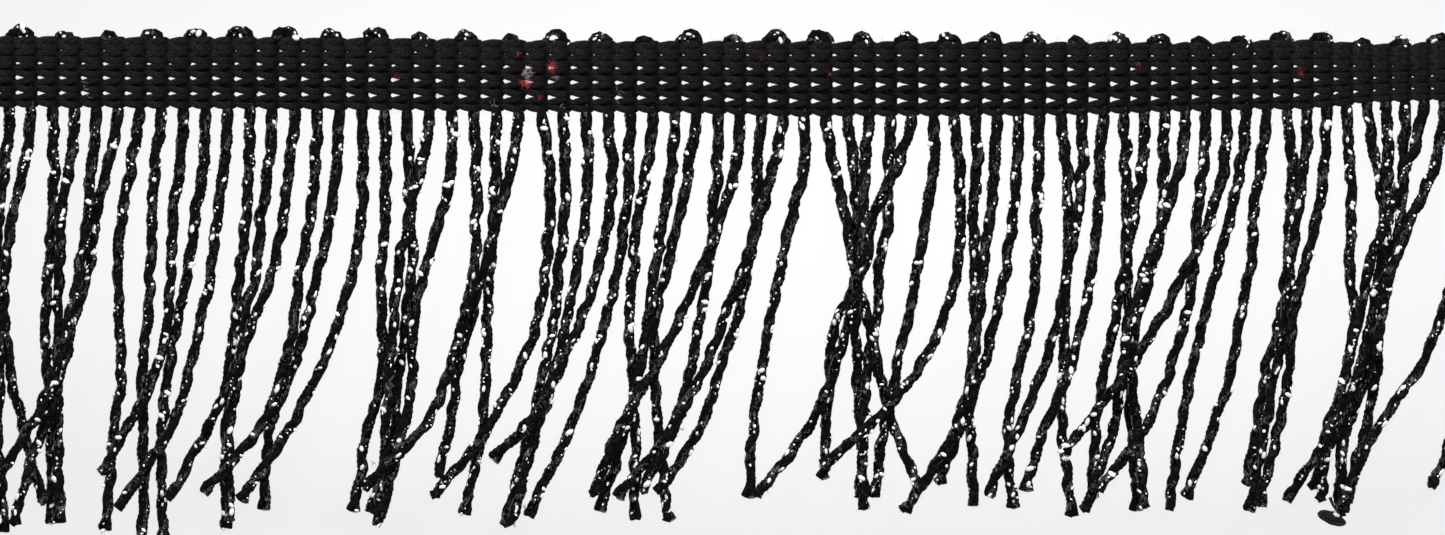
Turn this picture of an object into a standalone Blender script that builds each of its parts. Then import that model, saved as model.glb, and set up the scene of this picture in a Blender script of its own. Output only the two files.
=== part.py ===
"""A cut length of chainette fringe, lying flat on its back.

A knitted heading of five wales runs along X. Strands of chainette yarn leave its lowest wale and run
towards -Y, blown aside and across one another. The origin is under the middle of the heading, the
fringe rests on Z = 0, and Z is up.
"""

from collections import namedtuple

import bmesh
import bpy
import numpy as np

MM = 0.001

# Heading: its wales, and the parting that frees the lowest wale, which carries the strands.
WALES = 5
HEADING_THICK = 1.7 * MM
VALLEY_THICK = 1.0 * MM
PIT_THICK = 0.6 * MM
EDGE_ROUND = 0.45 * MM
PARTING = 0.3 * MM
SCALLOP = 0.25 * MM
RIB_FLAT = 1 / 3

Edge = namedtuple("Edge", "stitch x top bottom")
# The heading at some of its stitches, in mm: the stitch's place along X, and the heading's two edges in Y.
HEADING = [
    Edge(-3, -111.0, 5.3, -4.6),
    Edge(0, -101.6, 5.3, -4.6),
    Edge(7, -79.8, 5.1, -4.7),
    Edge(10, -70.4, 5.2, -4.8),
    Edge(20, -38.4, 4.9, -5.1),
    Edge(25, -22.4, 4.6, -5.3),
    Edge(30, -6.5, 4.6, -5.4),
    Edge(35, 8.9, 4.6, -5.9),
    Edge(40, 24.3, 4.6, -5.9),
    Edge(48, 48.6, 4.5, -5.8),
    Edge(50, 54.7, 4.5, -5.6),
    Edge(55, 69.3, 4.4, -5.1),
    Edge(57, 75.1, 4.7, -5.0),
    Edge(60, 83.8, 4.8, -4.9),
    Edge(63, 92.3, 4.1, -3.9),
    Edge(65, 97.8, 4.0, -3.6),
    Edge(67, 103.3, 4.6, -3.6),
    Edge(70, 111.4, 4.7, -3.6),
]
FIRST_STITCH = HEADING[0].stitch
LAST_STITCH = HEADING[-1].stitch

# Picots: the turns of the yarn along the top edge, one for every two stitches.
PICOT_YARN = 1.2 * MM
PICOT_EVERY = 2
PICOT_PHASE = 0.65
PICOT_SPREAD = {"flat": 2.2 * MM, "plain": 2.0 * MM, "tall": 2.5 * MM}
PICOT_RISE = {"flat": 0.3 * MM, "plain": 0.65 * MM, "tall": 1.15 * MM}
PICOT_POINTS = 5
TALL_PICOTS = {6, 8, 12, 15, 17, 18, 19, 20, 21, 29, 30}
FLAT_PICOTS = {1, 2, 7, 14, 16, 24, 27, 28, 31}

# Strands: chainette yarn a little flattened where it lies, one from each stitch.
STRAND_WIDE = 1.5 * MM
STRAND_TOP = 1.0 * MM
STRAND_THICK = 1.15 * MM
STRAND_GAP = 0.3 * MM
STRAND_POINTS = 14
FIRST_STRAND = -2
ROOT_INSIDE = 1.0 * MM
ROOT_LIFT = 0.25 * MM
ROOT_FREE = 1.5 * MM
STEEPEST_RISE = 0.35
LAYING_STEP = 0.5 * MM
WELD = 0.01 * MM

# Depths below the heading are measured from this Y, its lower edge near the middle.
HANG_LINE = -5.1 * MM
# A strand leaves its stitch a little to the left of the stitch's middle.
ROOT_LEAN = -0.25 * MM
LEAN_DEPTHS = (7.5 * MM, 15 * MM, 22.5 * MM, 30 * MM, 37.5 * MM, 45 * MM)

Strand = namedtuple("Strand", "lean_7 lean_15 lean_22 lean_30 lean_37 lean_45 lean_tip drop")
# One row for each strand, from the left, in mm: how far it lies aside of its root at the depths above and
# at its cut tip, and how deep that tip is.
STRANDS = [
    Strand(-0.2, -0.6, -0.9, -1.2, -1.5, -1.9, -2.5, 56.6),
    Strand(-0.4, -0.9, -1.2, -1.2, -0.7, -0.2, -0.7, 55.4),
    Strand(-0.8, -1.8, -1.9, -1.7, -1.5, -1.9, -0.9, 60.2),
    Strand(-1.2, -2.8, -3.9, -4.0, -3.1, -1.5, 1.4, 56.3),
    Strand(0.0, -0.2, -0.9, -1.3, -1.0, -0.6, -0.4, 59.1),
    Strand(-0.9, -2.1, -2.4, -2.6, -2.7, -2.7, -2.2, 58.9),
    Strand(-0.9, -1.5, -2.5, -4.2, -6.0, -9.4, -16.3, 55.7),
    Strand(-1.6, -3.4, -4.4, -6.5, -8.3, -10.9, -15.2, 59.2),
    Strand(-1.5, -2.8, -3.4, -3.2, -3.0, -3.9, -5.1, 59.9),
    Strand(-1.1, -1.7, -1.8, -2.4, -3.0, -2.9, -3.0, 61.0),
    Strand(-0.8, -1.8, -2.1, -2.6, -4.1, -8.1, -11.9, 52.1),
    Strand(-0.6, -1.7, -2.8, -4.3, -5.6, -6.4, -6.4, 61.0),
    Strand(-0.7, -1.6, -2.5, -4.0, -5.8, -8.1, -16.0, 56.9),
    Strand(-0.4, -0.8, -1.6, -2.4, -3.2, -3.7, -3.6, 59.6),
    Strand(-0.8, -1.8, -2.5, -4.2, -4.9, -6.4, -6.1, 58.9),
    Strand(-0.9, -1.9, -3.3, -6.0, -9.0, -12.5, -18.2, 55.7),
    Strand(-0.6, -1.2, -2.6, -3.5, -5.2, -8.2, -16.3, 54.7),
    Strand(-0.7, -1.6, -3.2, -4.9, -7.2, -10.1, -11.0, 57.1),
    Strand(-0.2, -0.3, -1.5, -3.5, -6.5, -10.3, -17.6, 55.7),
    Strand(-0.1, -0.2, -0.7, -0.6, -0.6, -2.4, -4.7, 57.3),
    Strand(0.1, 0.2, 0.5, -0.4, -1.3, -2.0, -5.6, 57.4),
    Strand(-1.2, -3.0, -4.6, -5.3, -6.0, -6.5, -7.6, 59.3),
    Strand(-0.2, -1.8, -3.9, -5.6, -5.8, -7.0, -10.5, 58.2),
    Strand(0.0, 0.1, -0.2, -1.8, -3.9, -7.2, -16.0, 54.1),
    Strand(-0.5, -0.7, -1.2, -1.6, -1.7, -2.2, -4.8, 57.7),
    Strand(-1.2, -3.1, -5.2, -7.2, -8.9, -10.0, -12.0, 52.4),
    Strand(0.9, 1.0, 0.4, -0.7, -3.6, -7.5, -15.7, 55.3),
    Strand(0.0, -0.1, -0.9, -1.6, -3.2, -4.8, -8.8, 59.4),
    Strand(0.1, -0.4, -1.5, -3.0, -4.7, -7.0, -10.9, 59.1),
    Strand(0.3, -0.2, -1.7, -4.2, -7.4, -11.8, -16.8, 49.9),
    Strand(-0.4, -1.0, -2.0, -3.9, -5.9, -8.7, -14.9, 57.9),
    Strand(-1.0, -2.3, -3.0, -3.5, -3.2, -2.8, -2.7, 58.4),
    Strand(-0.7, -1.8, -3.0, -4.2, -5.3, -7.3, -10.9, 57.3),
    Strand(-1.3, -2.6, -4.5, -6.1, -6.3, -5.8, -4.3, 58.7),
    Strand(-0.3, -1.0, -1.5, -2.9, -4.3, -6.7, -14.7, 55.3),
    Strand(-0.8, -2.8, -5.6, -8.9, -12.6, -17.1, -21.3, 55.1),
    Strand(-0.8, -1.0, -2.2, -3.8, -6.3, -8.7, -14.9, 54.7),
    Strand(-1.4, -3.5, -5.9, -8.8, -11.8, -15.4, -20.4, 54.6),
    Strand(-0.3, -1.9, -3.7, -5.2, -6.5, -7.6, -8.1, 55.3),
    Strand(0.8, 2.5, 3.7, 5.7, 7.3, 9.4, 13.2, 54.4),
    Strand(0.6, 1.1, 1.0, 1.0, 1.1, 1.7, 2.0, 57.1),
    Strand(-0.8, -1.1, -1.5, -3.1, -5.4, -8.7, -16.4, 55.1),
    Strand(-0.6, -0.6, -1.9, -2.4, -3.7, -4.0, -4.6, 55.4),
    Strand(-2.2, -5.7, -7.0, -11.0, -12.0, -12.5, -13.0, 52.6),
    Strand(-0.1, -1.2, -2.4, -3.9, -5.6, -7.2, -8.7, 55.3),
    Strand(0.4, 0.7, 0.2, -1.9, -5.6, -12.1, -19.2, 50.9),
    Strand(-0.1, -0.5, -0.5, -0.5, -1.0, -1.1, -0.5, 56.5),
    Strand(-0.7, -1.1, -2.2, -3.0, -3.8, -6.0, -13.4, 57.4),
    Strand(-0.5, -1.0, -2.1, -3.6, -5.5, -8.2, -11.7, 53.3),
    Strand(-0.3, -0.7, -0.7, -1.6, -3.2, -4.7, -4.2, 56.9),
    Strand(0.6, 0.8, 0.6, 0.3, 0.1, -0.1, 1.3, 58.1),
    Strand(-0.3, -0.9, -2.3, -3.7, -6.0, -9.1, -13.7, 55.1),
    Strand(-0.7, -1.0, -1.9, -3.3, -5.3, -8.5, -11.3, 54.4),
    Strand(0.0, 0.1, 0.1, 0.3, 0.4, 0.9, 1.6, 57.2),
    Strand(-0.5, -1.7, -3.1, -4.5, -6.0, -7.1, -7.8, 55.3),
    Strand(-0.4, -0.6, -2.0, -4.2, -5.1, -4.2, -3.2, 56.9),
    Strand(-0.9, -3.1, -5.9, -8.1, -9.3, -10.4, -14.9, 57.3),
    Strand(-0.7, -1.4, -1.9, -3.2, -5.5, -8.6, -15.7, 54.4),
    Strand(-0.5, -2.4, -5.8, -9.8, -14.7, -20.2, -23.3, 49.0),
    Strand(-1.0, -2.6, -4.4, -6.4, -8.2, -9.5, -11.4, 57.1),
    Strand(-1.0, -2.1, -2.6, -4.1, -5.4, -7.8, -11.7, 55.2),
    Strand(0.6, 0.1, -0.2, -1.2, -3.3, -4.5, -6.0, 53.5),
    Strand(-0.7, -1.7, -2.7, -3.4, -4.8, -6.2, -8.4, 57.2),
    Strand(-0.6, -1.8, -3.4, -5.3, -5.8, -7.1, -10.1, 56.6),
    Strand(0.1, 0.4, 0.2, 0.8, -0.4, -2.8, -3.9, 55.9),
    Strand(1.1, 2.2, 2.2, 1.4, 0.0, -3.0, -4.3, 58.0),
    Strand(0.0, 0.1, -1.1, -2.3, -4.3, -6.5, -6.3, 57.3),
    Strand(-0.5, -0.9, -2.2, -4.4, -7.0, -9.8, -13.6, 54.1),
    Strand(-2.6, -5.7, -8.3, -9.6, -11.7, -13.6, -20.0, 55.8),
    Strand(-1.4, -4.6, -7.7, -9.4, -9.9, -11.4, -14.2, 56.0),
    Strand(0.0, -0.3, -1.3, -3.5, -6.9, -12.3, -17.6, 56.8),
    Strand(-0.1, -0.3, -0.8, -1.5, -2.4, -3.9, -7.3, 53.9),
]


def clear_scene():
    for obj in list(bpy.data.objects):
        bpy.data.objects.remove(obj, do_unlink=True)


def new_collection(name):
    collection = bpy.data.collections.new(name)
    bpy.context.scene.collection.children.link(collection)
    return collection


def yarn_material(name, colour, roughness):
    material = bpy.data.materials.new(name)
    material.use_nodes = True
    shader = material.node_tree.nodes["Principled BSDF"]
    shader.inputs["Base Color"].default_value = (*colour, 1.0)
    shader.inputs["Roughness"].default_value = roughness
    shader.inputs["Metallic"].default_value = 0.0
    return material


def heading_at(stitch):
    """Place along X and the two edges in Y of the heading at a stitch number, which may fall between stitches."""
    stitches = [row.stitch for row in HEADING]
    x, top, bottom = (
        np.interp(stitch, stitches, [getattr(row, name) for row in HEADING]) for name in ("x", "top", "bottom")
    )
    return x * MM, top * MM, bottom * MM


def wale_line(stitch, wale):
    """Y of the line below a wale, counted from the heading's lower edge."""
    _, top, bottom = heading_at(stitch)
    return bottom + (top - bottom) * wale / WALES


def ribbed_band(name, first_wale, last_wale, trim, scallop):
    """A flat-backed band with one rounded rib for each wale: sections across it, lofted along X.

    Each stitch has two sections. Between the ribs the first of them dips into the stitch's pit, and at
    the lower edge, where there is a scallop, the first stands high and the second low."""
    bm = bmesh.new()
    rings = []
    for half in range(2 * (LAST_STITCH - FIRST_STITCH) + 1):
        stitch = FIRST_STITCH + half / 2
        x, _, _ = heading_at(stitch)
        in_pit = half % 2 == 1
        low = wale_line(stitch, first_wale) + trim["low"] + (scallop if in_pit else -scallop)
        high = wale_line(stitch, last_wale) - trim["high"]
        lines = [low] + [wale_line(stitch, wale) for wale in range(first_wale + 1, last_wale)] + [high]
        section = [(low, VALLEY_THICK)]
        for wale, (below, above) in enumerate(zip(lines, lines[1:])):
            if wale:
                section.append((below, PIT_THICK if in_pit else VALLEY_THICK))
            shoulder = (above - below) * (1 - RIB_FLAT) / 2
            section.append((below + shoulder, HEADING_THICK))
            section.append((above - shoulder, HEADING_THICK))
        section += [(high, VALLEY_THICK), (high - EDGE_ROUND, 0), (low + EDGE_ROUND, 0)]
        rings.append([bm.verts.new((x, y, z)) for y, z in section])
    for ring, following in zip(rings, rings[1:]):
        for k in range(len(ring)):
            bm.faces.new((ring[k - 1], ring[k], following[k], following[k - 1]))
    bm.faces.new(rings[0][::-1])
    bm.faces.new(rings[-1])
    bmesh.ops.recalc_face_normals(bm, faces=bm.faces)
    mesh = bpy.data.meshes.new(name)
    bm.to_mesh(mesh)
    bm.free()
    return bpy.data.objects.new(name, mesh)


def yarn_profile(name, corners, collection):
    """The closed outline of a length of yarn, for a curve to carry along its path."""
    data = bpy.data.curves.new(name, "CURVE")
    data.dimensions = "2D"
    data.fill_mode = "NONE"
    spline = data.splines.new("POLY")
    spline.points.add(len(corners) - 1)
    spline.use_cyclic_u = True
    for point, (across, up) in zip(spline.points, corners):
        point.co = (across, up, 0, 1)
    profile = bpy.data.objects.new(name, data)
    profile.hide_render = True
    profile.display_type = "WIRE"
    collection.objects.link(profile)
    return profile


def yarns(name, paths, profile, collection):
    """One mesh of all the lengths of yarn that follow these paths, each closed at both ends."""
    data = bpy.data.curves.new(name, "CURVE")
    data.dimensions = "3D"
    data.twist_mode = "Z_UP"
    data.bevel_mode = "OBJECT"
    data.bevel_object = profile
    data.use_fill_caps = True
    for path in paths:
        spline = data.splines.new("POLY")
        spline.points.add(len(path) - 1)
        for point, place in zip(spline.points, path):
            point.co = (*place, 1)
    curve = bpy.data.objects.new(name + "_path", data)
    collection.objects.link(curve)
    bpy.context.view_layer.update()
    mesh = bpy.data.meshes.new_from_object(curve.evaluated_get(bpy.context.evaluated_depsgraph_get()))
    bpy.data.objects.remove(curve)
    bm = bmesh.new()
    bm.from_mesh(mesh)
    bmesh.ops.remove_doubles(bm, verts=bm.verts, dist=WELD)
    bmesh.ops.recalc_face_normals(bm, faces=bm.faces)
    bm.to_mesh(mesh)
    bm.free()
    yarn = bpy.data.objects.new(name, mesh)
    yarn.hide_render = True
    yarn.display_type = "WIRE"
    collection.objects.link(yarn)
    return yarn


def fuse(base, addition):
    joined = base.modifiers.new("fused " + addition.name, "BOOLEAN")
    joined.operation = "UNION"
    joined.solver = "EXACT"
    joined.object = addition


def picot_paths():
    """Half-loops of yarn that stand out of the heading's top edge and turn back into it."""
    paths = []
    count = (LAST_STITCH - PICOT_PHASE) // PICOT_EVERY
    for picot in range(-1, int(count) + 1):
        kind = "tall" if picot in TALL_PICOTS else "flat" if picot in FLAT_PICOTS else "plain"
        x, top, _ = heading_at(PICOT_EVERY * picot + PICOT_PHASE)
        turn = np.linspace(0, np.pi, PICOT_POINTS)
        spread = (PICOT_SPREAD[kind] - PICOT_YARN / 2) * np.cos(turn)
        rise = (PICOT_RISE[kind] + PICOT_YARN / 2) * np.sin(turn) - PICOT_YARN / 2
        paths.append([(x + dx, top + dy, HEADING_THICK / 2) for dx, dy in zip(spread, rise)])
    return paths


def eased(depths, knots, values):
    """A smooth curve through the knots, read at the depths: cubic pieces whose slopes are those across each knot."""
    slopes = np.gradient(values, knots)
    slopes[0] = 0
    piece = np.clip(np.searchsorted(knots, depths, "right") - 1, 0, len(knots) - 2)
    span = knots[piece + 1] - knots[piece]
    t = np.clip((depths - knots[piece]) / span, 0, 1)
    return (
        (2 * t**3 - 3 * t**2 + 1) * values[piece]
        + (t**3 - 2 * t**2 + t) * span * slopes[piece]
        + (3 * t**2 - 2 * t**3) * values[piece + 1]
        + (t**3 - t**2) * span * slopes[piece + 1]
    )


def strand_plan(number, row):
    """Depths below the hang line and places along X of one strand's points, from its root to its tip."""
    root, _, bottom = heading_at(FIRST_STRAND + number)
    edge = HANG_LINE - bottom
    drop = row.drop * MM
    depths = np.concatenate([[edge - ROOT_INSIDE], np.linspace(edge + ROOT_FREE, drop, STRAND_POINTS - 1)])
    knots = np.array([edge, *LEAN_DEPTHS, drop])
    leans = np.array([ROOT_LEAN, *(lean * MM for lean in row[:-1])])
    return depths, root + eased(np.maximum(depths, edge), knots, leans)


def lay_down(plans):
    """Height of the underside of every strand at its points.

    The strands are laid one by one, the straightest first. Each rests on the floor, or passes over those
    already laid wherever their widths meet, and rises and falls no steeper than yarn does."""
    fine = np.arange(0, max(depths[-1] for depths, _ in plans), LAYING_STEP)
    places = np.array([np.interp(fine, depths, x) for depths, x in plans])
    half_widths = STRAND_WIDE / 2 * np.hypot(1, np.gradient(places, fine, axis=1))
    present = np.array([fine <= depths[-1] + STRAND_WIDE / 2 for depths, _ in plans])
    undersides = np.full(places.shape, -np.inf)
    heights = [None] * len(plans)
    for i in sorted(range(len(plans)), key=lambda k: abs(plans[k][1][-1] - plans[k][1][0])):
        meets = np.abs(places - places[i]) < half_widths + half_widths[i] + STRAND_GAP
        above = np.where(meets & present & present[i], undersides + STRAND_THICK + STRAND_GAP, 0)
        need = np.maximum(above.max(axis=0), 0)
        depths = plans[i][0]
        height = np.zeros(len(depths))
        for k in range(1, len(depths)):
            reach = (fine >= depths[k - 1]) & (fine <= depths[min(k + 1, len(depths) - 1)] + STRAND_WIDE / 2)
            height[k] = need[reach].max()
        for k in list(range(1, len(depths))) + list(range(len(depths) - 2, 0, -1)):
            for beside in (k - 1, k + 1):
                if 0 < beside < len(depths):
                    fall = STEEPEST_RISE * abs(depths[k] - depths[beside])
                    height[k] = max(height[k], height[beside] - fall)
        height[0] = ROOT_LIFT
        undersides[i] = np.interp(fine, depths, height)
        heights[i] = height
    return heights


def strand_paths():
    plans = [strand_plan(number, row) for number, row in enumerate(STRANDS)]
    return [
        [(x, HANG_LINE - depth, z) for depth, x, z in zip(depths, places, height)]
        for (depths, places), height in zip(plans, lay_down(plans))
    ]


def build():
    clear_scene()
    parts = new_collection("chainette_fringe")
    helpers = new_collection("helpers")
    black = yarn_material("black_yarn", (0.013, 0.012, 0.012), 0.85)
    black_film = yarn_material("black_yarn_and_film", (0.010, 0.010, 0.012), 0.6)

    heading = ribbed_band("heading", 1, WALES, {"low": PARTING / 2, "high": 0}, 0)
    half = PICOT_YARN / 2
    round_yarn = [(half * np.cos(a), half * np.sin(a)) for a in np.radians((45, 135, 225, 315))]
    picots = yarns("picots", picot_paths(), yarn_profile("picot_outline", round_yarn, helpers), helpers)
    fuse(heading, picots)
    heading.data.materials.append(black)

    skirt = ribbed_band("skirt", 0, 1, {"low": 0, "high": PARTING / 2}, SCALLOP)
    lying_yarn = [
        (-STRAND_WIDE / 2, 0),
        (STRAND_WIDE / 2, 0),
        (STRAND_TOP / 2, STRAND_THICK),
        (-STRAND_TOP / 2, STRAND_THICK),
    ]
    strands = yarns("strands", strand_paths(), yarn_profile("strand_outline", lying_yarn, helpers), helpers)
    fuse(skirt, strands)
    skirt.data.materials.append(black_film)

    for part in (heading, skirt):
        parts.objects.link(part)


build()
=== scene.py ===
"""Black chainette fringe with silver film in its yarn, lying face up on a pale table."""

import itertools
import math
from collections import namedtuple

import bpy
import numpy as np
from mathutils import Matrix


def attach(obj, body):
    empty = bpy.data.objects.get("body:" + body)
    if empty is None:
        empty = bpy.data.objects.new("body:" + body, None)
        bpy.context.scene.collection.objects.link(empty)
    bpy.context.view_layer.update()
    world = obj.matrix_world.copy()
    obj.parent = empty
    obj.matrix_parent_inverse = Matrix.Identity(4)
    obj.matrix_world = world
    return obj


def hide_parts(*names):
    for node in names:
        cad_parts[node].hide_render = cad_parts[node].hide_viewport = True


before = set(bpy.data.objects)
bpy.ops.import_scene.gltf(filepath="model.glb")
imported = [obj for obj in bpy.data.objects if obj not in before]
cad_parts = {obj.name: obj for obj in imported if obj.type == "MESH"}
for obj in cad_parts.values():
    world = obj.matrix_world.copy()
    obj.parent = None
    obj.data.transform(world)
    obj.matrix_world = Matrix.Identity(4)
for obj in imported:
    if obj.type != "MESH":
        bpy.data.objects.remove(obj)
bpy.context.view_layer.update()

# Table and light: a table lit from above, and lit from inside by a glow though it is no lamp. The glow is
# painted light, a pool brightest under the right middle of the fringe, and it washes out the shadows so
# that hardly one shows. Two soft lights and a small bright one hang above it, and the camera looks
# straight down.
MM = 0.001
PHOTO_WIDE = 206.43 * MM
PHOTO_MIDDLE = -27.64 * MM
LENS = 600
SENSOR = 36
TABLE_SIZE = 3.0
# Its top lies just under the yarn, and its own colour is dark, so that its white is nearly all painted
# glow.
TABLE_BELOW = 0.05 * MM
TABLE_UNLIT = (0.02, 0.02, 0.02)
TABLE_ROUGHNESS = 0.9
TABLE_GLOW = (0.992, 0.992, 1.0, 1)
GLOW_BRIGHTEST = 0.968
GLOW_AROUND = 0.82
GLOW_MIDDLE = (14 * MM, -14 * MM - PHOTO_MIDDLE, 0)
# How far from its middle the glow would be gone, along the fringe and down it.
GLOW_REACH = (400 * MM, 142 * MM, 1)
ROOM_GREY = (0.07, 0.07, 0.073, 1)
Light = namedtuple("Light", "name place size watts")
# Each light faces the origin. Places and sizes are in metres.
LIGHTS = (
    Light("softbox_left", (-0.45, 0.42, 0.45), 0.35, 3.7),
    Light("softbox_right", (0.45, 0.42, 0.45), 0.35, 3.7),
    Light("flash", (0.05, 0.16, 0.85), 0.22, 4.3),
)

scene = bpy.context.scene
scene.view_settings.view_transform = "Standard"
world = bpy.data.worlds.new("room")
world.use_nodes = True
world.node_tree.nodes["Background"].inputs["Color"].default_value = ROOM_GREY
scene.world = world


def give(tree, socket, value):
    """Gives a socket its value: a number, or a node or socket to link from. None leaves it alone."""
    if isinstance(value, bpy.types.Node):
        value = next(s for s in value.outputs if s.enabled)
    if isinstance(value, bpy.types.NodeSocket):
        tree.links.new(value, socket)
    elif value is not None:
        socket.default_value = value


def add(tree, kind, *values, **settings):
    """A node with its settings made, whose sockets are given the values in turn."""
    node = tree.nodes.new(kind)
    for name, value in settings.items():
        setattr(node, name, value)
    for socket, value in zip([s for s in node.inputs if s.enabled], values):
        give(tree, socket, value)
    return node


def maths(tree, operation, *terms):
    """A number worked out from others."""
    return add(tree, "ShaderNodeMath", *terms, operation=operation)


def vectors(tree, operation, *terms):
    """A vector worked out from others."""
    return add(tree, "ShaderNodeVectorMath", *terms, operation=operation)


def own_place(tree):
    """Where a point is, in the coordinates of its own piece."""
    return add(tree, "ShaderNodeTexCoord").outputs["Object"]


def finish_of(name, colour, roughness, specular=0.5):
    """A new material with its node tree and its shader, which starts from a plain colour."""
    material = bpy.data.materials.new(name)
    material.use_nodes = True
    shader = material.node_tree.nodes["Principled BSDF"]
    shader.inputs["Base Color"].default_value = (*colour, 1)
    shader.inputs["Roughness"].default_value = roughness
    shader.inputs["Specular IOR Level"].default_value = specular
    return material, material.node_tree, shader


bpy.ops.mesh.primitive_plane_add(size=TABLE_SIZE, location=(0, PHOTO_MIDDLE, -TABLE_BELOW))
table = bpy.context.object
table.name = "table"
glowing_table_finish, table_glow_tree, table_glow_shader = finish_of("glowing_table", TABLE_UNLIT, TABLE_ROUGHNESS)
# Painted pool of light: the glow fades from its middle outwards, down to an even glow all round.
from_middle = vectors(table_glow_tree, "SUBTRACT", own_place(table_glow_tree), GLOW_MIDDLE)
from_middle = vectors(table_glow_tree, "DIVIDE", from_middle, GLOW_REACH)
fading = vectors(table_glow_tree, "DOT_PRODUCT", from_middle, from_middle)
glow = maths(table_glow_tree, "SUBTRACT", GLOW_BRIGHTEST, fading.outputs["Value"])
glow = maths(table_glow_tree, "MAXIMUM", glow, GLOW_AROUND)
table_glow_shader.inputs["Emission Color"].default_value = TABLE_GLOW
give(table_glow_tree, table_glow_shader.inputs["Emission Strength"], glow)
table.data.materials.append(glowing_table_finish)

for row in LIGHTS:
    data = bpy.data.lights.new(row.name, "AREA")
    data.size = row.size
    data.energy = row.watts
    light = bpy.data.objects.new(row.name, data)
    light.location = row.place
    light.rotation_euler = (-light.location).to_track_quat("-Z", "Y").to_euler()
    light.visible_camera = False
    scene.collection.objects.link(light)

camera = bpy.data.objects.new("camera", bpy.data.cameras.new("camera"))
camera.data.lens = LENS
camera.data.sensor_width = SENSOR
camera.location = (0, PHOTO_MIDDLE, PHOTO_WIDE * LENS / SENSOR)
scene.collection.objects.link(camera)
scene.camera = camera

# Heading ground: the yarns that hold the wales together. A pair of inlaid yarns crosses the heading at
# every stitch, and a back yarn runs along behind each wale. Spun black yarn, knitted on a crochet machine.
WALES = 5
Edge = namedtuple("Edge", "stitch x top bottom")
# The heading at some of its stitches, in mm: the stitch's place along X, and the heading's two edges in Y.
HEADING = [
    Edge(-3, -111.0, 5.3, -4.6),
    Edge(0, -101.6, 5.3, -4.6),
    Edge(7, -79.8, 5.1, -4.7),
    Edge(10, -70.4, 5.2, -4.8),
    Edge(20, -38.4, 4.9, -5.1),
    Edge(25, -22.4, 4.6, -5.3),
    Edge(30, -6.5, 4.6, -5.4),
    Edge(35, 8.9, 4.6, -5.9),
    Edge(40, 24.3, 4.6, -5.9),
    Edge(48, 48.6, 4.5, -5.8),
    Edge(50, 54.7, 4.5, -5.6),
    Edge(55, 69.3, 4.4, -5.1),
    Edge(57, 75.1, 4.7, -5.0),
    Edge(60, 83.8, 4.8, -4.9),
    Edge(63, 92.3, 4.1, -3.9),
    Edge(65, 97.8, 4.0, -3.6),
    Edge(67, 103.3, 4.6, -3.6),
    Edge(70, 111.4, 4.7, -3.6),
]
FIRST_STITCH = HEADING[0].stitch
LAST_STITCH = HEADING[-1].stitch
# The lines between the wales, as shares of the heading's height from below.
WALE_LINES = (-0.018, 0.194, 0.419, 0.629, 0.823, 0.985)
# How far through its stitch a pair of inlaid yarns lies, how far apart, and how high.
INLAY_PHASE = 0.97
INLAY_SPACING = 0.72 * MM
INLAY_LOW = 0.55 * MM
INLAY_HIGH = 0.80 * MM
INLAY_POINTS_A_WALE = 4
# How far inside the lower edge an inlaid yarn begins, in yarn radii.
INLAY_FOOT_INSIDE = 1.5
BACK_HIGH = 0.42 * MM
# How far short of the heading's two ends the back yarns stop, and their step, in stitches.
BACK_SHORT_LEFT = 0.15
BACK_SHORT_RIGHT = 0.1
BACK_STEP = 0.5
GROUND = {
    "Yarn radius": 0.40 * MM,
    "Step": 0.5 * MM,
    "Sides": 6,
    "Uneven": 0.15,
    "Uneven length": 1.5 * MM,
    "Seed": 3,
}
BLACK_YARN = (0.0250, 0.0215, 0.0223)
# Painted shade: the colour that the yarn takes between its fibres, and low down in the heading.
BLACK_YARN_SHADE = (0.0005, 0.0004, 0.0004)
BLACK_YARN_SHEEN = 0.03
# Painted shade: the yarn is darkened low down in the heading, between its loops and wales, and paler on
# top.
PAINTED_SHADE_BELOW = 1.15 * MM
PAINTED_SHADE_ENDS_ABOVE = 1.9 * MM
YARN_ROUGHNESS = 0.95
YARN_SPECULAR = 0.1
SHEEN_ROUGHNESS = 0.5
# The yarn's fibres: the length of one coil round it, their own length, how fine and how deep they are.
FIBRE_COIL = 1.6 * MM
FIBRE_LONG = 0.9 * MM
FIBRE_FINE = 3.0
FIBRE_DETAIL = 3.0
FIBRE_DEEP = 0.15 * MM
# Where in the fibres' noise the colour is still the painted shade, and where it is fully pale.
FIBRE_SHADE_AT = 0.35
PALE_AT = 0.65


def heading_at(stitch):
    """Place along X and the two edges in Y of the heading at a stitch number, whole or not."""
    stitches, *measures = zip(*HEADING)
    x, top, bottom = (np.interp(stitch, stitches, measure) for measure in measures)
    return x * MM, top * MM, bottom * MM


def wale_line(stitch, wale):
    """Y of the line below a wale, counted from the heading's lower edge. Half a wale up is its middle."""
    _, top, bottom = heading_at(stitch)
    return bottom + (top - bottom) * np.interp(wale, range(WALES + 1), WALE_LINES)


def wires(name, paths, **numbers):
    """A mesh of loose edges along the paths, with a number for each path kept on its points."""
    points = [place for path in paths for place in path]
    edges = []
    start = 0
    for path in paths:
        edges += [(start + k, start + k + 1) for k in range(len(path) - 1)]
        start += len(path)
    mesh = bpy.data.meshes.new(name)
    mesh.from_pydata(points, edges, [])
    for label, values in {"yarn": range(len(paths)), **numbers}.items():
        attribute = mesh.attributes.new(label, "FLOAT", "POINT")
        for k, value in enumerate(v for v, path in zip(values, paths) for _ in path):
            attribute.data[k].value = value
    return mesh


def named(tree, label):
    """The number that each point keeps under a label."""
    return add(tree, "GeometryNodeInputNamedAttribute", label, data_type="FLOAT")


def stored(tree, geometry, label, value, data_type="FLOAT"):
    """The geometry, whose points keep a value under a label."""
    return add(tree, "GeometryNodeStoreNamedAttribute", geometry, None, label, value, data_type=data_type)


def length_along(tree):
    """How far along its yarn a point is."""
    return add(tree, "GeometryNodeSplineParameter").outputs["Length"]


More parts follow.
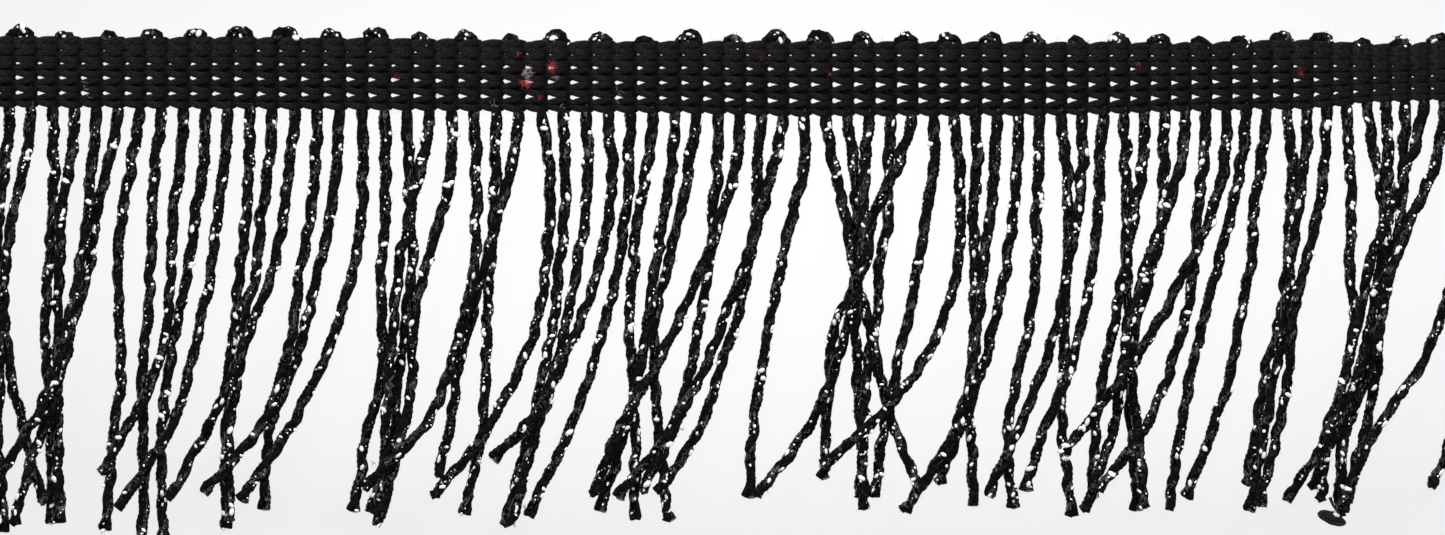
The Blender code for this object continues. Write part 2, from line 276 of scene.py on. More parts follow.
def lines_of(tree, sizes, spline_type=None):
    """The paths that a tree is given, as curves with points a step apart."""
    lines = add(tree, "GeometryNodeMeshToCurve", sizes["Geometry"])
    if spline_type:
        lines = add(tree, "GeometryNodeCurveSplineType", lines, spline_type=spline_type)
    return add(tree, "GeometryNodeResampleCurve", lines, None, sizes["Step"], mode="LENGTH")


def upright(tree, lines):
    """The curves, with their normals lying level."""
    return add(tree, "GeometryNodeSetCurveNormal", lines, mode="Z_UP")


def noise_along(tree, salt, size):
    """Smooth noise from -1 to 1 along a yarn, in swells of that size. Each yarn and salt has its own."""
    place = maths(tree, "DIVIDE", length_along(tree), size)
    place = add(tree, "ShaderNodeCombineXYZ", place, named(tree, "yarn"), salt)
    noise = add(tree, "ShaderNodeTexNoise", place, 1.0, 1.0)
    return maths(tree, "MULTIPLY_ADD", noise, 2.0, -1.0)


def unevenly(tree, sizes, share=1.0):
    """A share of a yarn's thickness, made a little more or less along the yarn."""
    noise = noise_along(tree, sizes["Seed"], sizes["Uneven length"])
    return maths(tree, "MULTIPLY_ADD", noise, sizes["Uneven"], share)


def ring_of(tree, sides, radius):
    """A ring with that many sides."""
    ring = add(tree, "GeometryNodeCurvePrimitiveCircle")
    give(tree, ring.inputs["Resolution"], sides)
    give(tree, ring.inputs["Radius"], radius)
    return ring


def swept(tree, sizes, curve, radius, wide=1.0):
    """A closed yarn of that radius along the curve, which keeps where each point is along and round it."""
    curve = stored(tree, curve, "along", length_along(tree))
    ring = ring_of(tree, sizes["Sides"], 1.0)
    ring = stored(tree, ring, "ring", add(tree, "GeometryNodeInputPosition"), "FLOAT_VECTOR")
    ring = add(tree, "GeometryNodeTransform", ring)
    ring.inputs["Scale"].default_value = (wide, 1 / wide, 1)
    mesh = add(tree, "GeometryNodeCurveToMesh", curve, ring, radius, True)
    return add(tree, "GeometryNodeSetShadeSmooth", mesh)


def tree_of(name, sizes, shape):
    """A Geometry Nodes tree with an input for each named size. A function makes its shape from them, whose
    instances are then realized, pressed flat on the table and given the material."""
    tree = bpy.data.node_groups.new(name, "GeometryNodeTree")
    tree.interface.new_socket("Geometry", in_out="INPUT", socket_type="NodeSocketGeometry")
    tree.interface.new_socket("Geometry", in_out="OUTPUT", socket_type="NodeSocketGeometry")
    for label, value in sizes.items():
        kind = "NodeSocketInt" if isinstance(value, int) else "NodeSocketFloat"
        tree.interface.new_socket(label, in_out="INPUT", socket_type=kind)
    tree.interface.new_socket("Material", in_out="INPUT", socket_type="NodeSocketMaterial")
    inputs = tree.nodes.new("NodeGroupInput").outputs
    real = add(tree, "GeometryNodeRealizeInstances", shape(tree, inputs))
    lowest = (-TABLE_SIZE, -TABLE_SIZE, 0.0)
    above_table = vectors(tree, "MAXIMUM", add(tree, "GeometryNodeInputPosition"), lowest)
    real = add(tree, "GeometryNodeSetPosition", real, None, above_table)
    add(tree, "NodeGroupOutput", add(tree, "GeometryNodeSetMaterial", real, None, inputs["Material"]))
    return tree


def grown(name, tree, source, sizes, material):
    """The plain mesh that a tree grows from its source, as a piece at the origin on the one body."""
    holder = bpy.data.objects.new(name + "_source", source)
    scene.collection.objects.link(holder)
    modifier = holder.modifiers.new("grown", "NODES")
    modifier.node_group = tree
    given = {**sizes, "Material": material}
    for item in tree.interface.items_tree:
        if item.in_out == "INPUT" and item.name in given:
            modifier[item.identifier] = given[item.name]
    bpy.context.view_layer.update()
    graph = bpy.context.evaluated_depsgraph_get()
    mesh = bpy.data.meshes.new_from_object(holder.evaluated_get(graph), depsgraph=graph)
    bpy.data.objects.remove(holder)
    mesh.name = name
    piece = bpy.data.objects.new(name, mesh)
    scene.collection.objects.link(piece)
    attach(piece, "root")
    return piece


def laid_yarns(tree, sizes):
    """Round yarns along the paths."""
    radius = maths(tree, "MULTIPLY", sizes["Yarn radius"], unevenly(tree, sizes))
    return swept(tree, sizes, upright(tree, lines_of(tree, sizes)), radius)


def fibres_on(tree, shader):
    """Bump of spun fibres: noise that is drawn out along the yarn, and coils a little round it."""
    ring = add(tree, "ShaderNodeAttribute", attribute_name="ring").outputs["Vector"]
    along = add(tree, "ShaderNodeAttribute", attribute_name="along").outputs["Fac"]
    ring = add(tree, "ShaderNodeSeparateXYZ", ring)
    coiled = maths(tree, "ADD", ring.outputs["X"], maths(tree, "MULTIPLY", along, 1 / FIBRE_COIL))
    drawn_out = maths(tree, "MULTIPLY", along, 1 / FIBRE_LONG)
    place = add(tree, "ShaderNodeCombineXYZ", coiled, ring.outputs["Y"], drawn_out)
    fibres = add(tree, "ShaderNodeTexNoise", place, FIBRE_FINE, FIBRE_DETAIL)
    give(tree, shader.inputs["Normal"], add(tree, "ShaderNodeBump", 1.0, FIBRE_DEEP, None, fibres))
    return fibres


def toned(tree, shader, share, *stops):
    """Colours a shader by a share, between two stops that each have a place and a colour."""
    ramp = add(tree, "ShaderNodeValToRGB", share)
    for element, (place, colour) in zip(ramp.color_ramp.elements, stops):
        element.position = place
        element.color = (*colour, 1)
    give(tree, shader.inputs["Base Color"], ramp)


def spun_yarn(name, deep, pale, sheen=0.0):
    """A matte spun yarn whose colour runs from painted shade between the fibres to pale on them."""
    material, tree, shader = finish_of(name, pale, YARN_ROUGHNESS, YARN_SPECULAR)
    shader.inputs["Sheen Weight"].default_value = sheen
    shader.inputs["Sheen Roughness"].default_value = SHEEN_ROUGHNESS
    toned(tree, shader, fibres_on(tree, shader), (FIBRE_SHADE_AT, deep), (PALE_AT, pale))
    return material


def mixed_in(material, share, colour, over=True):
    """Mixes a colour into the yarn's own by a share: over it, or else under it, where the share is low."""
    tree = material.node_tree
    shader = tree.nodes["Principled BSDF"]
    own = shader.inputs["Base Color"].links[0].from_socket
    mix = add(tree, "ShaderNodeMix", data_type="RGBA")
    give(tree, mix.inputs["Factor"], share)
    colours = [s for s in mix.inputs if s.name in ("A", "B") and s.enabled]
    give(tree, colours[0 if over else 1], own)
    give(tree, colours[1 if over else 0], (*colour, 1))
    give(tree, shader.inputs["Base Color"], mix)


black = spun_yarn("spun_black_yarn", BLACK_YARN_SHADE, BLACK_YARN, BLACK_YARN_SHEEN)
black_tree = black.node_tree
# Painted shade by height: the lower the heading's yarn lies, the more its colour goes to the shade.
black_place = add(black_tree, "ShaderNodeSeparateXYZ", own_place(black_tree))
unshaded_share = add(black_tree, "ShaderNodeMapRange", black_place.outputs["Z"], PAINTED_SHADE_BELOW, PAINTED_SHADE_ENDS_ABOVE, 0.0, 1.0)
mixed_in(black, unshaded_share.outputs["Result"], BLACK_YARN_SHADE, over=False)

ground_paths = []
for stitch in range(FIRST_STITCH, LAST_STITCH):
    x, top, bottom = heading_at(stitch + INLAY_PHASE)
    if x > HEADING[-1].x * MM - INLAY_SPACING:
        continue
    foot = bottom + GROUND["Yarn radius"] * INLAY_FOOT_INSIDE
    rows = np.linspace(foot, top - GROUND["Yarn radius"], INLAY_POINTS_A_WALE * WALES + 1)
    lift = 0.5 + 0.5 * np.cos(np.linspace(0, WALES * math.tau, len(rows)))
    heights = INLAY_LOW + (INLAY_HIGH - INLAY_LOW) * lift
    for side in (-0.5, 0.5):
        ground_paths.append([(x + side * INLAY_SPACING, y, z) for y, z in zip(rows, heights)])
for wale in range(WALES):
    stitches = np.arange(FIRST_STITCH + BACK_SHORT_LEFT, LAST_STITCH - BACK_SHORT_RIGHT, BACK_STEP)
    ground_paths.append([(heading_at(s)[0], wale_line(s, wale + 0.5), BACK_HIGH) for s in stitches])
ground_tree = tree_of("laid_yarns", GROUND, laid_yarns)
ground = grown("heading_ground", ground_tree, wires("laid", ground_paths), GROUND, black)
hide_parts("heading")

# Heading wales: five chains of loops along the face. Each loop comes up through the last one, and its two
# legs spread to the right, so that small eyelets stay open between the wales. Spun black yarn.
LoopPoint = namedtuple("LoopPoint", "along aside high")
# Half of a loop, from its foot to the middle of its head: along in stitches, aside in wales, high in mm.
LOOP = [
    LoopPoint(-0.06, 0.05, 0.45),
    LoopPoint(0.12, 0.06, 0.85),
    LoopPoint(0.28, 0.12, 1.25),
    LoopPoint(0.46, 0.25, 1.38),
    LoopPoint(0.72, 0.33, 1.30),
    LoopPoint(0.96, 0.34, 1.05),
    LoopPoint(1.13, 0.32, 0.75),
    LoopPoint(1.19, 0.18, 0.50),
    LoopPoint(1.19, 0.00, 0.42),
]
Fullness = namedtuple("Fullness", "stitch yarn")
# How full the yarn is along the heading. Where it is full, the eyelets close.
FULLNESS = [
    Fullness(-3, 1.06),
    Fullness(3, 1.06),
    Fullness(5, 1.13),
    Fullness(7.5, 1.11),
    Fullness(10, 1.02),
    Fullness(13, 1.07),
    Fullness(33, 1.04),
    Fullness(38, 0.98),
    Fullness(56, 0.98),
    Fullness(60, 1.06),
    Fullness(65, 1.15),
    Fullness(70, 1.2),
]
# How much fuller each wale is than that, from the lowest wale up.
WALE_FULLNESS = (0.97, 1.00, 1.05, 1.13, 1.27)
# How far a loop reaches on, and how far it may be out of its place, in stitches.
LOOP_REACH = 1.2
LOOP_ASTRAY = 0.03
# How much fuller or thinner than most a loop may be, as a share.
LOOP_SPREAD = 0.07
LOOP_SEED = 31
LOOPS = {
    "Yarn radius": 0.40 * MM,
    "Step": 0.42 * MM,
    "Sides": 8,
    "Uneven": 0.14,
    "Uneven length": 1.2 * MM,
    "Waver": 0.07 * MM,
    "Seed": 5,
}
LOOP_WAVER_LONG = 1.7 * MM
# A loop's yarn is pressed wider by this, and thinner by as much.
LOOP_PRESSED = 1.12
# A noise's colour strays a quarter or so from its middle, and this brings that to 1.
NOISE_TO_ONE = 4.0


def scaled(tree, vector, factor):
    """A vector made longer by a factor."""
    node = vectors(tree, "SCALE", vector)
    give(tree, node.inputs["Scale"], factor)
    return node


def strayed(tree, noise, factor):
    """A small vector that points anywhere, made of a noise's colour."""
    centred = vectors(tree, "SUBTRACT", noise.outputs["Color"], (0.5, 0.5, 0.5))
    return scaled(tree, centred, factor)


def chain_loops(tree, sizes):
    """Smooth loops that waver a little, each as full as its points say."""
    line = upright(tree, lines_of(tree, sizes, "NURBS"))
    noise = add(tree, "ShaderNodeTexNoise", None, 1 / LOOP_WAVER_LONG, 1.0)
    waver = strayed(tree, noise, maths(tree, "MULTIPLY", sizes["Waver"], NOISE_TO_ONE))
    line = add(tree, "GeometryNodeSetPosition", line, None, None, waver)
    radius = maths(tree, "MULTIPLY", sizes["Yarn radius"], named(tree, "fullness"))
    radius = maths(tree, "MULTIPLY", radius, unevenly(tree, sizes))
    return swept(tree, sizes, line, radius, LOOP_PRESSED)


loop_chance = np.random.default_rng(LOOP_SEED)
loop_paths = []
loop_fullness = []
half = [(p.along, p.aside, p.high * MM) for p in LOOP]
whole = half + [(along, -aside, high) for along, aside, high in half[-2::-1]]
for wale in range(WALES):
    for stitch in range(FIRST_STITCH, LAST_STITCH):
        start = stitch + loop_chance.uniform(-LOOP_ASTRAY, LOOP_ASTRAY)
        if start + LOOP_REACH > LAST_STITCH:
            continue
        path = []
        for along, aside, high in whole:
            at = start + along
            height = wale_line(at, wale + 1) - wale_line(at, wale)
            path.append((heading_at(at)[0], wale_line(at, wale + 0.5) + aside * height, high))
        loop_paths.append(path)
        full = np.interp(stitch, [row.stitch for row in FULLNESS], [row.yarn for row in FULLNESS])
        spread = 1 + loop_chance.uniform(-LOOP_SPREAD, LOOP_SPREAD)
        loop_fullness.append(full * WALE_FULLNESS[wale] * spread)

loop_tree = tree_of("chain_loops", LOOPS, chain_loops)
wales = grown("heading_wales", loop_tree, wires("loops", loop_paths, fullness=loop_fullness), LOOPS, black)
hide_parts("heading")

# Strands: 72 cut ends of chainette yarn, one from each stitch, lying where they were blown. Each is two
# plies twisted together, one of spun black yarn and one of clear dark film, and is cut off at its tip.
STRAND_WIDE = 1.5 * MM
STRAND_THICK = 1.15 * MM
STRAND_GAP = 0.3 * MM
STRAND_POINTS = 40
FIRST_STRAND = -2
ROOT_INSIDE = 0.9 * MM
ROOT_HIGH = 0.56 * MM
STRAND_MIDDLE = 0.78 * MM
STEEPEST_RISE = 0.35
LAYING_STEP = 0.5 * MM
HANG_LINE = -5.1 * MM
# A strand leaves its stitch a little to the left of the stitch's middle.
ROOT_LEAN = -0.25 * MM
LEAN_DEPTHS = (7.5 * MM, 15 * MM, 22.5 * MM, 30 * MM, 37.5 * MM, 45 * MM)
# A strand wavers in two waves, which begin at its root and are full a little below it.
WAVER = 0.085 * MM
WAVE_LENGTHS = (3.9 * MM, 6.1 * MM)
WAVE_FULL = 6 * MM
WAVE_SEED = 100
# Over how many points a strand's height is smoothed.
SMOOTHED = 5
PLY = {
    "Ply radius": 0.665 * MM,
    "Offset": 0.19 * MM,
    "Twist length": 6.4 * MM,
    "Turn": 0.0,
    "Step": 0.36 * MM,
    "Sides": 7,
    "Bead": 0.07,
    "Bead length": 0.72 * MM,
    "Uneven": 0.15,
    "Uneven length": 2.2 * MM,
    "Neck": 0.6,
    "Neck length": 1.6 * MM,
    "Thinned": 0.86,
    "Thinned length": 28 * MM,
    "Slack": 0.7,
    "Slack length": 6.0 * MM,
    "Crinkle": 0.52 * MM,
    "Crinkle length": 3.0 * MM,
    "Crinkle full": 5.0 * MM,
    "Flare": 1.6,
    "Flare length": 2.1 * MM,
    "Seed": 11,
}
# The film ply lies half a turn round from the black one.
FILM_PLY = {**PLY, "Turn": 0.5, "Bead": 0.09}
SLACK_SALT = 3.7
CRINKLE_SALT = 5.3
# A strand lies flat, so that its plies coil less high than wide, and are themselves pressed wider.
COIL_FLAT = 0.85
PLY_PRESSED = 1.14
STRAND_BLACK = (0.0022, 0.0021, 0.0022)
# Painted shade: the colour that the strand's black yarn takes between its fibres.
STRAND_BLACK_SHADE = (0.0006, 0.0006, 0.0006)
# The black yarn is worn paler in patches, where their noise rises between two heights. The same grey
# is painted shade between the fibres of the curled end.
STRAND_WORN_AND_SHADE = (0.013, 0.013, 0.0145)
WORN_PATCH = 0.7 * MM
WORN_FROM = 0.5
WORN_FULL = 0.72
FILM_DARK = (0.0012, 0.0012, 0.0016)
# The grey is partly the film's own and partly painted sheen, in patches and along the creases.
FILM_GREY_AND_SHEEN = (0.105, 0.105, 0.115)
FILM_DARK_AT = 0.305
FILM_GREY_AND_SHEEN_AT = 0.44
FILM_ROUGHNESS = 0.22
FILM_SPECULAR = 0.15
FILM_PATCH = 1.3 * MM
FILM_CREASE = 0.26 * MM
# The creases run along the strands.
FILM_CREASE_DRAWN = (1.0, 0.4, 1.0)
FILM_TILT = 1.9
PATCH_DETAIL = 2.0

Strand = namedtuple("Strand", "lean_7 lean_15 lean_22 lean_30 lean_37 lean_45 lean_tip drop")
# One row for each strand, from the left, in mm: how far it lies aside of its root at the depths above and
# at its cut tip, and how deep that tip is.
STRANDS = [
    Strand(-0.2, -0.6, -0.9, -1.2, -1.5, -1.9, -2.5, 56.6),
    Strand(-0.4, -0.9, -1.2, -1.2, -0.7, -0.2, -0.7, 55.4),
    Strand(-0.8, -1.8, -1.9, -1.7, -1.5, -1.9, -0.9, 60.2),
    Strand(-1.2, -2.8, -3.9, -4.0, -3.1, -1.5, 1.4, 56.3),
    Strand(0.0, -0.2, -0.9, -1.3, -1.0, -0.6, -0.4, 59.1),
    Strand(-0.9, -2.1, -2.4, -2.6, -2.7, -2.7, -2.2, 58.9),
    Strand(-0.9, -1.5, -2.5, -4.2, -6.0, -9.4, -16.3, 55.7),
    Strand(-1.6, -3.4, -4.4, -6.5, -8.3, -10.9, -15.2, 59.2),
    Strand(-1.5, -2.8, -3.4, -3.2, -3.0, -3.9, -5.1, 59.9),
    Strand(-1.1, -1.7, -1.8, -2.4, -3.0, -2.9, -3.0, 61.0),
    Strand(-0.8, -1.8, -2.1, -2.6, -4.1, -8.1, -11.9, 52.1),
    Strand(-0.6, -1.7, -2.8, -4.3, -5.6, -6.4, -6.4, 61.0),
    Strand(-0.7, -1.6, -2.5, -4.0, -5.8, -8.1, -16.0, 56.9),
    Strand(-0.4, -0.8, -1.6, -2.4, -3.2, -3.7, -3.6, 59.6),
    Strand(-0.8, -1.8, -2.5, -4.2, -4.9, -6.4, -6.1, 58.9),
    Strand(-0.9, -1.9, -3.3, -6.0, -9.0, -12.5, -18.2, 55.7),
    Strand(-0.6, -1.2, -2.6, -3.5, -5.2, -8.2, -16.3, 54.7),
    Strand(-0.7, -1.6, -3.2, -4.9, -7.2, -10.1, -11.0, 57.1),
    Strand(-0.2, -0.3, -1.5, -3.5, -6.5, -10.3, -17.6, 55.7),
    Strand(-0.1, -0.2, -0.7, -0.6, -0.6, -2.4, -4.7, 57.3),
    Strand(0.1, 0.2, 0.5, -0.4, -1.3, -2.0, -5.6, 57.4),
    Strand(-1.2, -3.0, -4.6, -5.3, -6.0, -6.5, -7.6, 59.3),
    Strand(-0.2, -1.8, -3.9, -5.6, -5.8, -7.0, -10.5, 58.2),
    Strand(0.0, 0.1, -0.2, -1.8, -3.9, -7.2, -16.0, 54.1),
    Strand(-0.5, -0.7, -1.2, -1.6, -1.7, -2.2, -4.8, 57.7),
    Strand(-1.2, -3.1, -5.2, -7.2, -8.9, -10.0, -12.0, 52.4),
    Strand(0.9, 1.0, 0.4, -0.7, -3.6, -7.5, -15.7, 55.3),
    Strand(0.0, -0.1, -0.9, -1.6, -3.2, -4.8, -8.8, 59.4),
    Strand(0.1, -0.4, -1.5, -3.0, -4.7, -7.0, -10.9, 59.1),
    Strand(0.3, -0.2, -1.7, -4.2, -7.4, -11.8, -16.8, 49.9),
    Strand(-0.4, -1.0, -2.0, -3.9, -5.9, -8.7, -14.9, 57.9),
    Strand(-1.0, -2.3, -3.0, -3.5, -3.2, -2.8, -2.7, 58.4),
    Strand(-0.7, -1.8, -3.0, -4.2, -5.3, -7.3, -10.9, 57.3),
    Strand(-1.3, -2.6, -4.5, -6.1, -6.3, -5.8, -4.3, 58.7),
    Strand(-0.3, -1.0, -1.5, -2.9, -4.3, -6.7, -14.7, 55.3),
    Strand(-0.8, -2.8, -5.6, -8.9, -12.6, -17.1, -21.3, 55.1),
    Strand(-0.8, -1.0, -2.2, -3.8, -6.3, -8.7, -14.9, 54.7),
    Strand(-1.4, -3.5, -5.9, -8.8, -11.8, -15.4, -20.4, 54.6),
    Strand(-0.3, -1.9, -3.7, -5.2, -6.5, -7.6, -8.1, 55.3),
    Strand(0.8, 2.5, 3.7, 5.7, 7.3, 9.4, 13.2, 54.4),
    Strand(0.6, 1.1, 1.0, 1.0, 1.1, 1.7, 2.0, 57.1),
    Strand(-0.8, -1.1, -1.5, -3.1, -5.4, -8.7, -16.4, 55.1),
    Strand(-0.6, -0.6, -1.9, -2.4, -3.7, -4.0, -4.6, 55.4),
    Strand(-2.2, -5.7, -7.0, -11.0, -12.0, -12.5, -13.0, 52.6),
    Strand(-0.1, -1.2, -2.4, -3.9, -5.6, -7.2, -8.7, 55.3),
    Strand(0.4, 0.7, 0.2, -1.9, -5.6, -12.1, -19.2, 50.9),
    Strand(-0.1, -0.5, -0.5, -0.5, -1.0, -1.1, -0.5, 56.5),
    Strand(-0.7, -1.1, -2.2, -3.0, -3.8, -6.0, -13.4, 57.4),
    Strand(-0.5, -1.0, -2.1, -3.6, -5.5, -8.2, -11.7, 53.3),
    Strand(-0.3, -0.7, -0.7, -1.6, -3.2, -4.7, -4.2, 56.9),
    Strand(0.6, 0.8, 0.6, 0.3, 0.1, -0.1, 1.3, 58.1),
    Strand(-0.3, -0.9, -2.3, -3.7, -6.0, -9.1, -13.7, 55.1),
    Strand(-0.7, -1.0, -1.9, -3.3, -5.3, -8.5, -11.3, 54.4),
    Strand(0.0, 0.1, 0.1, 0.3, 0.4, 0.9, 1.6, 57.2),
    Strand(-0.5, -1.7, -3.1, -4.5, -6.0, -7.1, -7.8, 55.3),
    Strand(-0.4, -0.6, -2.0, -4.2, -5.1, -4.2, -3.2, 56.9),
    Strand(-0.9, -3.1, -5.9, -8.1, -9.3, -10.4, -14.9, 57.3),
    Strand(-0.7, -1.4, -1.9, -3.2, -5.5, -8.6, -15.7, 54.4),
    Strand(-0.5, -2.4, -5.8, -9.8, -14.7, -20.2, -23.3, 49.0),
    Strand(-1.0, -2.6, -4.4, -6.4, -8.2, -9.5, -11.4, 57.1),
    Strand(-1.0, -2.1, -2.6, -4.1, -5.4, -7.8, -11.7, 55.2),
    Strand(0.6, 0.1, -0.2, -1.2, -3.3, -4.5, -6.0, 53.5),
    Strand(-0.7, -1.7, -2.7, -3.4, -4.8, -6.2, -8.4, 57.2),
    Strand(-0.6, -1.8, -3.4, -5.3, -5.8, -7.1, -10.1, 56.6),
    Strand(0.1, 0.4, 0.2, 0.8, -0.4, -2.8, -3.9, 55.9),
    Strand(1.1, 2.2, 2.2, 1.4, 0.0, -3.0, -4.3, 58.0),
    Strand(0.0, 0.1, -1.1, -2.3, -4.3, -6.5, -6.3, 57.3),
    Strand(-0.5, -0.9, -2.2, -4.4, -7.0, -9.8, -13.6, 54.1),
    Strand(-2.6, -5.7, -8.3, -9.6, -11.7, -13.6, -20.0, 55.8),
    Strand(-1.4, -4.6, -7.7, -9.4, -9.9, -11.4, -14.2, 56.0),
    Strand(0.0, -0.3, -1.3, -3.5, -6.9, -12.3, -17.6, 56.8),
    Strand(-0.1, -0.3, -0.8, -1.5, -2.4, -3.9, -7.3, 53.9),
]


def eased(depths, knots, values):
    """A smooth curve through the knots, read at the depths. Its slope at a knot is that across it."""
    slopes = np.gradient(values, knots)
    slopes[0] = 0
    piece = np.clip(np.searchsorted(knots, depths, "right") - 1, 0, len(knots) - 2)
    span = knots[piece + 1] - knots[piece]
    t = np.clip((depths - knots[piece]) / span, 0, 1)
    return (
        (2 * t**3 - 3 * t**2 + 1) * values[piece]
        + (t**3 - 2 * t**2 + t) * span * slopes[piece]
        + (3 * t**2 - 2 * t**3) * values[piece + 1]
        + (t**3 - t**2) * span * slopes[piece + 1]
    )


def strand_plan(number, row):
    """Depths below the hang line and places along X of one strand's points, from its root to its tip."""
    root, _, bottom = heading_at(FIRST_STRAND + number)
    edge = HANG_LINE - bottom
    drop = row.drop * MM
    depths = np.concatenate([[edge - ROOT_INSIDE], np.linspace(edge, drop, STRAND_POINTS - 1)])
    knots = np.array([edge, *LEAN_DEPTHS, drop])
    leans = np.array([ROOT_LEAN, *(lean * MM for lean in row[:-1])])
    below = np.maximum(depths - edge, 0)
    phases = np.random.default_rng(WAVE_SEED + number).uniform(0, math.tau, len(WAVE_LENGTHS))
    waver = sum(np.sin(below * math.tau / wave + phase) for wave, phase in zip(WAVE_LENGTHS, phases))
    places = root + eased(np.maximum(depths, edge), knots, leans)
    return depths, places + WAVER * waver * np.minimum(below / WAVE_FULL, 1)


def lay_down(plans):
    """Height of the underside of every strand at its points.

    The strands are laid one by one, the straightest first. Each rests on the table, or passes over those
    already laid wherever their widths meet, and rises and falls no steeper than yarn does."""
    fine = np.arange(0, max(depths[-1] for depths, _ in plans), LAYING_STEP)
    places = np.array([np.interp(fine, depths, x) for depths, x in plans])
    half_widths = STRAND_WIDE / 2 * np.hypot(1, np.gradient(places, fine, axis=1))
    present = np.array([fine <= depths[-1] + STRAND_WIDE / 2 for depths, _ in plans])
    undersides = np.full(places.shape, -np.inf)
    heights = [None] * len(plans)
    for i in sorted(range(len(plans)), key=lambda k: abs(plans[k][1][-1] - plans[k][1][0])):
        meets = np.abs(places - places[i]) < half_widths + half_widths[i]
        above = np.where(meets & present & present[i], undersides + STRAND_THICK + STRAND_GAP, 0)
        need = np.maximum(above.max(axis=0), 0)
        depths = plans[i][0]
        height = np.zeros(len(depths))
        for k in range(1, len(depths)):
            end = depths[min(k + 1, len(depths) - 1)] + STRAND_WIDE / 2
            height[k] = need[(fine >= depths[k - 1]) & (fine <= end)].max()
        for k in list(range(1, len(depths))) + list(range(len(depths) - 2, 0, -1)):
            for beside in (k - 1, k + 1):
                if 0 < beside < len(depths):
                    fall = STEEPEST_RISE * abs(depths[k] - depths[beside])
                    height[k] = max(height[k], height[beside] - fall)
        undersides[i] = np.interp(fine, depths, height)
        heights[i] = height
    return heights


def strand_paths():
    """The middle line of every strand, from its root in the heading to its cut tip."""
    plans = [strand_plan(number, row) for number, row in enumerate(STRANDS)]
    paths = []
    for (depths, places), height in zip(plans, lay_down(plans)):
        padded = np.pad(height, SMOOTHED // 2, "edge")
        middle = np.convolve(padded, np.ones(SMOOTHED) / SMOOTHED, "valid") + STRAND_MIDDLE
        middle[0] = ROOT_HIGH
        paths.append([(x, HANG_LINE - depth, z) for depth, x, z in zip(depths, places, middle)])
    return paths


def ply_line(tree, sizes):
    """The line of one ply, which coils round the strand's own line and springs away where it is cut."""
    line = upright(tree, lines_of(tree, sizes))
    length = length_along(tree)
    slack = noise_along(tree, SLACK_SALT, sizes["Slack length"])
    seed = sizes["Seed"]
    start = add(tree, "FunctionNodeRandomValue", 0.0, 1.0, named(tree, "yarn"), seed, data_type="FLOAT")
    turns = maths(tree, "ADD", maths(tree, "DIVIDE", length, sizes["Twist length"]), sizes["Turn"])
    turns = maths(tree, "ADD", turns, maths(tree, "MULTIPLY_ADD", slack, sizes["Slack"], start))
    angle = maths(tree, "MULTIPLY", turns, math.tau)
    to_tip = maths(tree, "SUBTRACT", add(tree, "GeometryNodeSplineLength"), length)
    near_tip = add(tree, "ShaderNodeMapRange", to_tip, 0.0, sizes["Flare length"], 1.0, 0.0)
    opened = maths(tree, "MULTIPLY_ADD", maths(tree, "POWER", near_tip, 2.0), sizes["Flare"], 1.0)
    reach = maths(tree, "MULTIPLY", sizes["Offset"], opened)
    crinkle = noise_along(tree, CRINKLE_SALT, sizes["Crinkle length"])
    hang = add(tree, "ShaderNodeMapRange", length, 0.0, sizes["Crinkle full"], 0.0, sizes["Crinkle"])
    crinkle = maths(tree, "MULTIPLY", crinkle, hang)
    aside = maths(tree, "MULTIPLY_ADD", maths(tree, "COSINE", angle), reach, crinkle)
    high = maths(tree, "MULTIPLY", maths(tree, "SINE", angle), maths(tree, "MULTIPLY", reach, COIL_FLAT))
    side = add(tree, "GeometryNodeInputNormal")
    up = vectors(tree, "CROSS_PRODUCT", add(tree, "GeometryNodeInputTangent"), side)
    offset = vectors(tree, "ADD", scaled(tree, side, aside), scaled(tree, up, high))
    return add(tree, "GeometryNodeSetPosition", line, None, None, offset)


def ply_radius(tree, sizes):
    """A ply's radius: beaded by its knitted chain, uneven, and drawn in at the root and further down."""
    length = length_along(tree)
    beads = maths(tree, "MULTIPLY", maths(tree, "DIVIDE", length, sizes["Bead length"]), math.tau)
    beads = maths(tree, "MULTIPLY_ADD", maths(tree, "SINE", beads), sizes["Bead"], 1.0)
    swell = unevenly(tree, sizes, beads)
    neck = add(tree, "ShaderNodeMapRange", length, 0.0, sizes["Neck length"], sizes["Neck"], 1.0)
    thinned = add(tree, "ShaderNodeMapRange", length, 0.0, sizes["Thinned length"], 1.0, sizes["Thinned"])
    drawn_in = maths(tree, "MULTIPLY", neck, thinned)
    return maths(tree, "MULTIPLY", sizes["Ply radius"], maths(tree, "MULTIPLY", swell, drawn_in))


def yarn_ply(tree, sizes):
    """One ply of a yarn, all along its line."""
    return swept(tree, sizes, ply_line(tree, sizes), ply_radius(tree, sizes), PLY_PRESSED)


def clear_dark_film():
    """Smooth dark film, grey in patches, partly painted sheen; so creased that it glances here and there.
    """
    film, tree, shader = finish_of("clear_dark_film", FILM_DARK, FILM_ROUGHNESS, FILM_SPECULAR)
    place = own_place(tree)
    patches = add(tree, "ShaderNodeTexNoise", place, 1 / FILM_PATCH, PATCH_DETAIL)
    drawn = vectors(tree, "MULTIPLY", place, FILM_CREASE_DRAWN)
    creases = add(tree, "ShaderNodeTexNoise", drawn, 1 / FILM_CREASE, 1.0)
    share = maths(tree, "MULTIPLY", patches, creases)
    toned(tree, shader, share, (FILM_DARK_AT, FILM_DARK), (FILM_GREY_AND_SHEEN_AT, FILM_GREY_AND_SHEEN))
    normal = add(tree, "ShaderNodeNewGeometry").outputs["Normal"]
    normal = vectors(tree, "ADD", normal, strayed(tree, creases, FILM_TILT))
    give(tree, shader.inputs["Normal"], vectors(tree, "NORMALIZE", normal))
    return film


